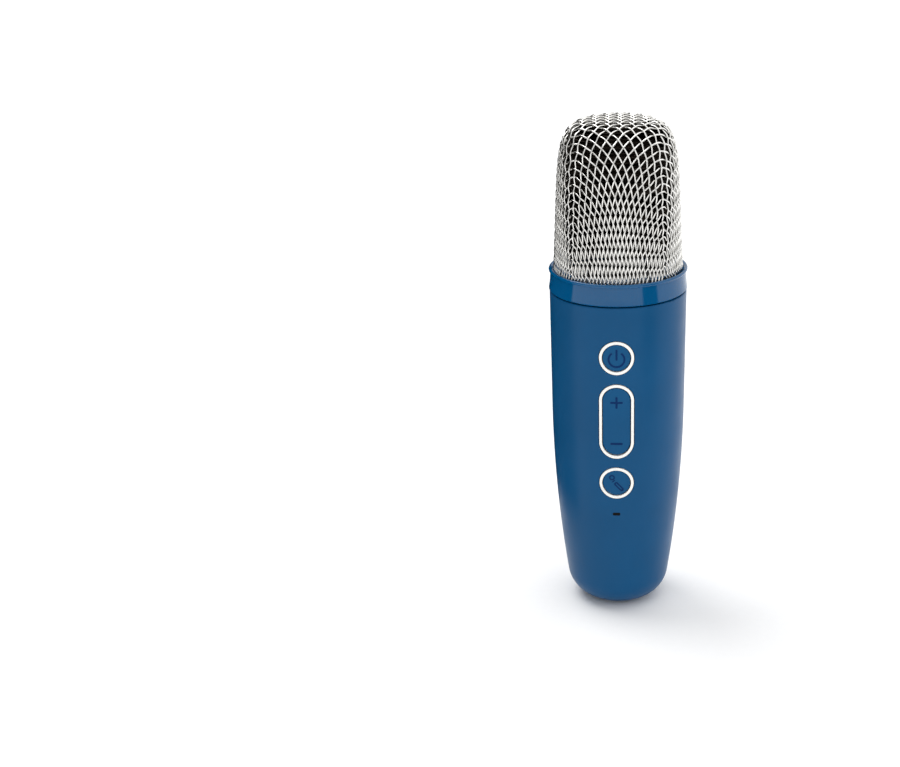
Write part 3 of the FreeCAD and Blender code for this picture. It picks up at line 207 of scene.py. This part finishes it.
def take(name):
    """Names the object just added and takes it into edit mode with nothing selected."""
    piece = bpy.context.object
    piece.name = piece.data.name = name
    bpy.ops.object.mode_set(mode="EDIT")
    bpy.ops.mesh.select_all(action="DESELECT")
    return piece


def pick(piece, kind, test):
    """Selects the vertices, edges or faces whose middle passes the test, in edit mode."""
    bpy.ops.mesh.select_all(action="DESELECT")
    bpy.ops.mesh.select_mode(type=kind)
    bpy.ops.object.mode_set(mode="OBJECT")
    mesh = piece.data
    parts = {"VERT": mesh.vertices, "EDGE": mesh.edges, "FACE": mesh.polygons}[kind]
    for part in parts:
        if kind == "VERT":
            middle = part.co
        elif kind == "EDGE":
            middle = (mesh.vertices[part.vertices[0]].co + mesh.vertices[part.vertices[1]].co) / 2
        else:
            middle = part.center
        part.select = test(middle)
    bpy.ops.object.mode_set(mode="EDIT")


def put_down(piece, body, material):
    """Settles a finished piece: its place in its mesh, its finish and the body that it rides on."""
    let_go()
    piece.select_set(True)
    bpy.context.view_layer.objects.active = piece
    bpy.ops.object.transform_apply(location=True, rotation=True, scale=True)
    piece.data.materials.clear()
    piece.data.materials.append(material)
    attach(piece, body)
    let_go()
    return piece


def apply_all(piece):
    """Applies every modifier of a piece, in order."""
    let_go()
    piece.select_set(True)
    bpy.context.view_layer.objects.active = piece
    for modifier in list(piece.modifiers):
        bpy.ops.object.modifier_apply(modifier=modifier.name)


# ------------------------------------------------------------------------------------ the woven wire head
head_low, head_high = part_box("grille_mesh")
HEAD_R = head_high.x / MM                # outside of the head at its foot
HEAD_TOP = head_high.z / MM
HEAD_FOOT = head_low.z / MM
BEND_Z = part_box("collar")[1].z / MM      # the sides are straight below this
WIRE_R = 0.25
MESH_TURN = math.radians(1.2)            # the cloth was set into the collar by eye
SHOULDER_OUT, SHOULDER_IN, SHOULDER_DROP = 1.04, 2.28, 1.27      # poles of the curve from crown to side
WIRES = 26                               # wires to each side of the crown
PITCH_CROWN, PITCH_SIDE = 2.53, 2.47     # wire spacing, pressed a little wider over the crown
LOCK = 1.18                              # the narrowest a sheared mesh opening gets
SHEAR = 0.02                             # how much the cloth would rather stay square


def head_outline():
    """The middle of the cloth from the crown down: length along it, radius and height."""
    radius, top = HEAD_R - 2 * WIRE_R, HEAD_TOP - 2 * WIRE_R
    poles = np.array([[0, top], [radius + SHOULDER_OUT, top],
                      [radius - SHOULDER_IN, top - SHOULDER_DROP], [radius, BEND_Z]])
    t = np.linspace(0, 1, 3000)[:, None]
    curve = ((1 - t) ** 3 * poles[0] + 3 * (1 - t) ** 2 * t * poles[1]
             + 3 * (1 - t) * t * t * poles[2] + t ** 3 * poles[3])
    skirt = np.stack([np.full(400, radius), BEND_Z - np.linspace(0.1, 40, 400)], 1)
    curve = np.vstack([curve, skirt])
    along = np.concatenate([[0], np.cumsum(np.hypot(*np.diff(curve, axis=0).T))])
    return along, curve[:, 0], curve[:, 1]


ALONG, OUT, UP = head_outline()


def on_head(s, turn):
    r, z = np.interp(s, ALONG, OUT), np.interp(s, ALONG, UP)
    return np.stack([r * np.sin(turn), -r * np.cos(turn), z], -1)


def lean_at(s):
    """How much radius and height change per millimetre down the outline."""
    below, above = s + 0.02, np.maximum(s - 0.02, 0)
    span = below - above
    return ((np.interp(below, ALONG, OUT) - np.interp(above, ALONG, OUT)) / span,
            (np.interp(below, ALONG, UP) - np.interp(above, ALONG, UP)) / span)


def press_cloth():
    """Presses a flat square weave over the head. Each crossing of a quarter of the cloth slides on the
    head until the wires keep their length between crossings. The four wires through the crown stay
    straight, and between them the cloth shears until its wires lock side by side."""
    count = np.arange(WIRES + 1)
    a, b = np.meshgrid(count, count, indexing="ij")
    flat = np.hypot(a, b)
    s = flat * PITCH_CROWN
    s = np.where(s > 20, 20 + (a + b) * PITCH_CROWN - 20 * (a + b) / np.maximum(flat, 1), s)
    turn = np.arctan2(b, a) - math.pi / 4
    left, right = (slice(None, -1), slice(1, None)), (slice(1, None), slice(None, -1))
    for _ in range(4000):
        p = on_head(s, turn)
        radius = np.interp(s, ALONG, OUT)
        dr, dz = lean_at(s)
        down = np.stack([dr * np.sin(turn), -dr * np.cos(turn), dz], -1)
        round_it = np.stack([np.cos(turn), np.sin(turn), 0 * turn], -1)
        depth = np.clip(2 * (HEAD_TOP - p[..., 2]) / (HEAD_TOP - BEND_Z), 0, 1)
        wanted = PITCH_CROWN + (PITCH_SIDE - PITCH_CROWN) * depth
        move, pulls = np.zeros_like(p), np.zeros(p.shape[:2])
        for one, two in (((slice(None, -1), slice(None)), (slice(1, None), slice(None))),
                         ((slice(None), slice(None, -1)), (slice(None), slice(1, None)))):
            gap = p[two] - p[one]
            length = np.maximum(np.linalg.norm(gap, axis=-1), 1e-6)
            share = ((1 - (wanted[one] + wanted[two]) / 2 / length) / 2)[..., None] * gap
            move[one] += share
            move[two] -= share
            pulls[one] += 1
            pulls[two] += 1
        width = (radius[left] + radius[right]) / 2
        push = np.maximum(LOCK - width * (turn[left] - turn[right]), 0) / 2
        push = np.where(width < 4, 0, push)[..., None]
        move[left] += push * round_it[left]
        move[right] -= push * round_it[right]
        gap = p[right] - p[left]
        length = np.maximum(np.linalg.norm(gap, axis=-1), 1e-6)
        square = (SHEAR * (1 - PITCH_CROWN * math.sqrt(2) / length) / 2)[..., None] * gap
        move[left] += square
        move[right] -= square
        held = (push[..., 0] > 0) + SHEAR
        pulls[left] += held
        pulls[right] += held
        move *= 1.3 / np.maximum(pulls, 1)[..., None]
        ds, dt = (move * down).sum(-1), (move * round_it).sum(-1) / np.maximum(radius, 0.3)
        dt[:, 0] = dt[0, :] = 0
        ds[0, 0] = 0
        s = np.maximum(s + ds, 0)
        turn = np.clip(turn + dt, -math.pi / 4, math.pi / 4)
    return s, turn


def whole_cloth():
    """The quarter repeated round the crown: where each crossing lies, and the way out of the head."""
    s, turn = press_cloth()
    size = 2 * WIRES + 1
    places, ways = np.zeros((size, size, 3)), np.zeros((size, size, 3))
    dr, dz = lean_at(s)
    for i in range(-WIRES, WIRES + 1):
        for j in range(-WIRES, WIRES + 1):
            quarter, (a, b) = ((0, (i, j)) if i >= 0 and j >= 0 else (1, (j, -i)) if j >= 0 else
                               (2, (-i, -j)) if i < 0 else (3, (-j, i)))
            angle = turn[a, b] + quarter * math.pi / 2 + MESH_TURN
            places[i + WIRES, j + WIRES] = on_head(s[a, b], angle)
            ways[i + WIRES, j + WIRES] = (-dz[a, b] * math.sin(angle), dz[a, b] * math.cos(angle), dr[a, b])
    return places, ways


def wire_tubes(lines, out, over, sides=7, steps=6):
    """Round wire through each line of crossings, over and under the other family by its own radius."""
    corners, faces = [], []
    ring = np.linspace(0, 2 * math.pi, sides, endpoint=False)
    for k, (line, way) in enumerate(zip(lines, out)):
        keep = np.where(line[:, 2] > HEAD_FOOT)[0]
        for run in np.split(keep, np.where(np.diff(keep) > 1)[0] + 1):
            if len(run) < 3:
                continue
            first, last = max(run[0] - 1, 0), min(run[-1] + 1, len(line) - 1)
            t = np.arange(first * steps, last * steps + 1) / steps
            spot = spline(line, t)
            normal = spline(way, t)
            normal /= np.linalg.norm(normal, axis=1)[:, None]
            rise = over * WIRE_R * np.cos(math.pi * (t + k))
            path = spot + normal * rise[:, None]
            inside = path[:, 2] > HEAD_FOOT + 0.1
            path, normal = path[inside], normal[inside]
            if len(path) < 4:
                continue
            ahead = np.gradient(path, axis=0)
            ahead /= np.linalg.norm(ahead, axis=1)[:, None]
            side = np.cross(ahead, normal)
            side /= np.linalg.norm(side, axis=1)[:, None]
            top = np.cross(side, ahead)
            tube = (path[:, None] + WIRE_R * (np.cos(ring)[None, :, None] * side[:, None]
                                              + np.sin(ring)[None, :, None] * top[:, None]))
            base = sum(len(c) for c in corners)
            corners.append(tube.reshape(-1, 3))
            for m in range(len(path) - 1):
                for n in range(sides):
                    a, b = base + m * sides + n, base + m * sides + (n + 1) % sides
                    faces.append((a, b, b + sides, a + sides))
            faces.append(tuple(base + n for n in reversed(range(sides))))
            faces.append(tuple(base + (len(path) - 1) * sides + n for n in range(sides)))
    return np.vstack(corners) * MM, faces


def spline(values, t):
    """A smooth curve through the values at whole numbers of t."""
    last = len(values) - 1
    k = np.clip(np.floor(t).astype(int), 0, last - 1)
    u = (t - k)[:, None]
    before, here, there, after = (values[np.clip(k + d, 0, last)] for d in (-1, 0, 1, 2))
    return (here + u / 2 * (there - before) + u * u * (before - 2.5 * here + 2 * there - after / 2)
            + u ** 3 * (1.5 * (here - there) + (after - before) / 2))


def weave_family(name, lines, ways, over):
    """All the wires that run one way, as one piece."""
    mesh = bpy.data.meshes.new(name)
    corners, faces = wire_tubes(lines, ways, over)
    mesh.from_pydata(corners.tolist(), [], faces)
    mesh.validate()
    piece = bpy.data.objects.new(name, mesh)
    bpy.context.scene.collection.objects.link(piece)
    let_go()
    piece.select_set(True)
    bpy.context.view_layer.objects.active = piece
    bpy.ops.object.mode_set(mode="EDIT")
    bpy.ops.mesh.select_all(action="SELECT")
    bpy.ops.mesh.normals_make_consistent(inside=False)
    bpy.ops.object.mode_set(mode="OBJECT")
    bpy.ops.object.shade_smooth_by_angle(angle=math.radians(60))
    return put_down(piece, "handle", finish["woven_wire"])


crossings, outward = whole_cloth()
warp = weave_family("warp_wires", crossings, outward, 1)
weft = weave_family("weft_wires", crossings.transpose(1, 0, 2), outward.transpose(1, 0, 2), -1)
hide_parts("grille_mesh")
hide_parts("grille_mesh")


# ------------------------------------------------------------------------------------- foam in the head
FOAM_WALL, FOAM_STEPS = 3, 23


def wind_foam():
    """The foam liner behind the wires. It is meant as a short cylinder whose top face is drawn up step by
    step into a dome, opened below and given the wall of the foam. Known fault: the steps come out as
    separate flat discs with no side wall between them, so the piece is not a closed dome."""
    low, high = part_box("windscreen_foam")
    radius, top, foot, bend = high.x, high.z, low.z, BEND_Z * MM
    bpy.ops.mesh.primitive_cylinder_add(vertices=96, radius=radius, depth=bend - foot,
                                        location=(0, 0, (bend + foot) / 2))
    foam = take("foam_liner")
    half = (bend - foot) / 2
    pick(foam, "FACE", lambda c: c.z > half - 0.01 * MM)
    r, z = radius, bend
    for k in range(1, FOAM_STEPS):
        t = 1 - (k / FOAM_STEPS) ** 0.8
        new_r = (t ** 3 * radius + 3 * t * t * (1 - t) * (radius - SHOULDER_IN * MM)
                 + 3 * t * (1 - t) ** 2 * (radius + SHOULDER_OUT * MM))
        new_z = (t ** 3 * bend + 3 * t * t * (1 - t) * (top - SHOULDER_DROP * MM)
                 + 3 * t * (1 - t) ** 2 * top + (1 - t) ** 3 * top)
        bpy.ops.mesh.extrude_region_move(TRANSFORM_OT_translate={"value": (0, 0, new_z - z)})
        bpy.ops.transform.resize(value=(new_r / r, new_r / r, 1), center_override=(0, 0, new_z))
        r, z = new_r, new_z
    bpy.ops.mesh.merge(type="CENTER")
    pick(foam, "FACE", lambda c: c.z < 0.01 * MM - half)
    bpy.ops.mesh.delete(type="ONLY_FACE")
    let_go()
    wall = foam.modifiers.new("wall", "SOLIDIFY")
    wall.thickness, wall.offset = FOAM_WALL * MM, -1
    uneven = foam.modifiers.new("uneven", "DISPLACE")
    uneven.texture = bpy.data.textures.new("foam_lumps", "CLOUDS")
    uneven.texture.noise_scale = 4 * MM
    uneven.strength, uneven.mid_level = 0.3 * MM, 0.8
    apply_all(foam)
    foam.select_set(True)
    bpy.ops.object.shade_smooth()
    put_down(foam, "handle", finish["foam"])
    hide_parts("windscreen_foam")


wind_foam()


# ----------------------------------------------------------------------------------------- key markings
# Pad-printing ink: a thin matt film, darker than the keys.
MARK_INK = moulded_plastic("pad_printed_ink", "002F63", "002A5A", 0.5, grain=0.25, shine=0.1)
MARK_DEPTH = 0.05 * MM


def stroke(x0, z0, x1, z1, width):
    """A straight printed stroke between two points of the key face, with its corners taken off."""
    length = math.hypot(x1 - x0, z1 - z0) * MM
    bpy.ops.mesh.primitive_plane_add(size=1, location=(0, 0, 0))
    line = take("stroke")
    bpy.ops.mesh.select_all(action="SELECT")
    bpy.ops.transform.resize(value=(length, width * MM, 1), center_override=(0, 0, 0))
    bpy.ops.mesh.bevel(offset=width * 0.3 * MM, segments=3, affect="VERTICES")
    bpy.ops.mesh.select_all(action="SELECT")
    let_go()
    line.rotation_euler = (math.pi / 2, -math.atan2(z1 - z0, x1 - x0), 0)
    line.location = ((x0 + x1) / 2 * MM, 0, (z0 + z1) / 2 * MM)
    return line


def hoop(x, z, radius, width, open_half=0.0):
    """A printed ring, left open at the top by an angle each side."""
    bpy.ops.mesh.primitive_circle_add(vertices=60, radius=(radius + width / 2) * MM, location=(0, 0, 0))
    ring = take("hoop")
    bpy.ops.mesh.select_all(action="SELECT")
    bpy.ops.mesh.extrude_edges_move()
    inner = (radius - width / 2) / (radius + width / 2)
    bpy.ops.transform.resize(value=(inner, inner, 1), center_override=(0, 0, 0))
    if open_half:
        pick(ring, "FACE", lambda c: abs(math.atan2(c.x, c.y)) < math.radians(open_half))
        bpy.ops.mesh.delete(type="FACE")
    bpy.ops.mesh.select_all(action="SELECT")
    bpy.ops.mesh.normals_make_consistent(inside=False)
    let_go()
    ring.rotation_euler = (math.pi / 2, 0, 0)
    ring.location = (x * MM, 0, z * MM)
    return ring


def printed_mark(name, key, body, strokes):
    """Joins the strokes, lays them on the face of the key and gives the ink its thickness."""
    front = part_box(key)[0].y
    for line in strokes:
        line.location.y = front - 2 * MM
        line.select_set(True)
    bpy.context.view_layer.objects.active = strokes[0]
    bpy.ops.object.transform_apply(location=True, rotation=True, scale=True)
    if len(strokes) > 1:
        bpy.ops.object.join()
    mark = bpy.context.object
    mark.name = mark.data.name = name
    bpy.ops.object.mode_set(mode="EDIT")
    bpy.ops.mesh.select_all(action="SELECT")
    bpy.ops.mesh.quads_convert_to_tris()
    bpy.ops.mesh.subdivide(number_cuts=3)
    bpy.ops.object.mode_set(mode="OBJECT")
    laid = mark.modifiers.new("laid", "SHRINKWRAP")
    laid.target, laid.wrap_method = nodes[key], "PROJECT"
    laid.use_project_y, laid.use_positive_direction, laid.use_negative_direction = True, True, False
    laid.offset = 0.01 * MM
    ink = mark.modifiers.new("ink", "SOLIDIFY")
    ink.thickness, ink.offset = MARK_DEPTH, 1
    apply_all(mark)
    return put_down(mark, body, MARK_INK)


def middle(node):
    """Where a CAD node is centred, seen from the front, in millimetres."""
    low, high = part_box(node)
    return (low.x + high.x) / 2 / MM, (low.z + high.z) / 2 / MM


power_x, power_z = middle("power_ring")
printed_mark("power_mark", "power_key", "power_key",
             [hoop(power_x, power_z - 0.43, 2.35, 0.55, open_half=36),
              stroke(power_x, power_z - 0.7, power_x, power_z + 2.75, 0.55)])
rocker_x, rocker_z = middle("volume_ring")
printed_mark("plus_mark", "volume_rocker", "volume_rocker",
             [stroke(rocker_x - 1.85, rocker_z + 6.16, rocker_x + 1.85, rocker_z + 6.16, 0.6),
              stroke(rocker_x, rocker_z + 4.31, rocker_x, rocker_z + 8.01, 0.6)])
printed_mark("minus_mark", "volume_rocker", "volume_rocker",
             [stroke(rocker_x - 1.83, rocker_z - 7.23, rocker_x + 1.83, rocker_z - 7.23, 0.66)])
mode_x, mode_z = middle("mode_ring")
printed_mark("mode_mark", "mode_key", "mode_key",
             [hoop(mode_x - 1.4, mode_z + 1.8, 0.68, 0.4),
              stroke(mode_x - 1.3, mode_z + 0.28, mode_x - 0.5, mode_z + 0.96, 0.34),
              stroke(mode_x - 0.62, mode_z - 0.32, mode_x + 1.45, mode_z - 2.68, 0.4),
              stroke(mode_x + 0.01, mode_z + 0.21, mode_x + 2.08, mode_z - 2.15, 0.4),
              stroke(mode_x - 0.62, mode_z - 0.32, mode_x + 0.01, mode_z + 0.21, 0.4),
              stroke(mode_x + 1.45, mode_z - 2.68, mode_x + 2.08, mode_z - 2.15, 0.6)])


# ------------------------------------------------------------------------------- floor, camera and light
def pale_floor():
    """The white paper that the object stands on, a hair below its foot."""
    bpy.ops.mesh.primitive_plane_add(size=8, location=(0, 0, -0.05 * MM))
    floor = take("floor")
    bpy.ops.mesh.select_all(action="SELECT")
    bpy.ops.mesh.subdivide(number_cuts=3)
    let_go()
    material, tree, place = new_finish("matt_white_paper")
    fibre = add(tree, "ShaderNodeTexNoise", {"Vector": place, "Scale": 1 / (2 * MM), "Detail": 2.0})
    tone = add(tree, "ShaderNodeValToRGB", {"Fac": fibre.outputs["Fac"]})
    tone.color_ramp.elements[0].color, tone.color_ramp.elements[1].color = linear("F6F6F6"), linear("F9F9F9")
    close_finish(tree, {"Base Color": tone.outputs["Color"], "Roughness": 0.9, "Specular IOR Level": 0.1})
    floor.data.materials.append(material)


def camera_at(place, turn, pitch, roll, lens):
    """A camera at a place in millimetres, turned, tipped down and rolled by degrees."""
    data = bpy.data.cameras.new("camera")
    data.lens, data.sensor_width, data.clip_start, data.clip_end = lens, 36, 0.01, 50
    camera = bpy.data.objects.new("camera", data)
    camera.matrix_world = (Matrix.Translation([c * MM for c in place])
                           @ Matrix.Rotation(math.radians(turn), 4, "Z")
                           @ Matrix.Rotation(math.radians(90 - pitch), 4, "X")
                           @ Matrix.Rotation(math.radians(roll), 4, "Z"))
    bpy.context.scene.collection.objects.link(camera)
    bpy.context.scene.camera = camera


def far_softbox(name, towards, strength, spread):
    """A large softbox far enough away to light the whole floor evenly; spread is its width in degrees."""
    data = bpy.data.lights.new(name, "SUN")
    data.energy, data.angle = strength, math.radians(spread)
    light = bpy.data.objects.new(name, data)
    light.rotation_euler = Vector(towards).to_track_quat("Z", "Y").to_euler()
    light.location = Vector(towards)
    bpy.context.scene.collection.objects.link(light)


# Black card of the flags: dull, so that it shows in glossy plastic as plain darkness.
FLAG = moulded_plastic("black_card", "020202", "010101", 0.9, shine=0.0)
FLAG_HEIGHT = 170


def black_flag(name, x0, y0, x1, y1):
    """A black card upright on the floor. It is there for glossy reflections only, and casts no shadow."""
    bpy.ops.mesh.primitive_plane_add(size=1, location=(0, 0, 0))
    card = take(name)
    bpy.ops.mesh.select_all(action="SELECT")
    bpy.ops.transform.resize(value=(math.hypot(x1 - x0, y1 - y0) * MM, FLAG_HEIGHT * MM, 1),
                             center_override=(0, 0, 0))
    let_go()
    card.rotation_euler = (math.pi / 2, 0, math.atan2(y1 - y0, x1 - x0))
    card.location = ((x0 + x1) / 2 * MM, (y0 + y1) / 2 * MM, FLAG_HEIGHT / 2 * MM)
    card.data.materials.append(FLAG)
    card.visible_camera = card.visible_diffuse = card.visible_shadow = False


def studio_round():
    """The white studio round the object: brightness by compass direction, a little brighter overhead."""
    world = bpy.data.worlds.new("studio")
    world.use_nodes = True
    tree = world.node_tree
    tree.nodes.clear()
    way = add(tree, "ShaderNodeTexCoord").outputs["Generated"]
    compass = add(tree, "ShaderNodeTexGradient", {"Vector": way}, gradient_type="RADIAL")
    band = add(tree, "ShaderNodeValToRGB", {"Fac": compass.outputs["Fac"]})
    stops = [(0.0, 0.25), (0.05, 0.3), (0.13, 0.75), (0.25, 0.8), (0.4, 0.85), (0.5, 1.0), (0.6, 1.1),
             (0.75, 0.95), (0.87, 0.5), (0.95, 0.25), (1.0, 0.25)]
    while len(band.color_ramp.elements) < len(stops):
        band.color_ramp.elements.new(0.5)
    for element, (position, level) in zip(band.color_ramp.elements, stops):
        element.position = position
    for element, (position, level) in zip(band.color_ramp.elements, stops):
        element.color = (level, level, level, 1)
    height = add(tree, "ShaderNodeSeparateXYZ", {"Vector": way}).outputs["Z"]
    lift = add(tree, "ShaderNodeMapRange", {"Value": height, "From Min": 0.3, "From Max": 0.9,
                                            "To Min": 0.95, "To Max": 1.4})
    surface = add(tree, "ShaderNodeBackground", {"Color": band.outputs["Color"],
                                                 "Strength": lift.outputs["Result"]})
    add(tree, "ShaderNodeOutputWorld", {"Surface": surface.outputs[0]})
    bpy.context.scene.world = world


pale_floor()
camera_at((9.13, -470.11, 248.03), 7.505, 20.447, -2.232, 64)
studio_round()
far_softbox("key_light", (-0.40, 0.24, 0.885), 1.4, 36)
black_flag("flag_left", -62, -25, -62, 60)
black_flag("flag_behind", -200, 60, -8, 60)
black_flag("flag_front_right", 128, -152, 185, -82)
bpy.context.scene.view_settings.view_transform = "Standard"
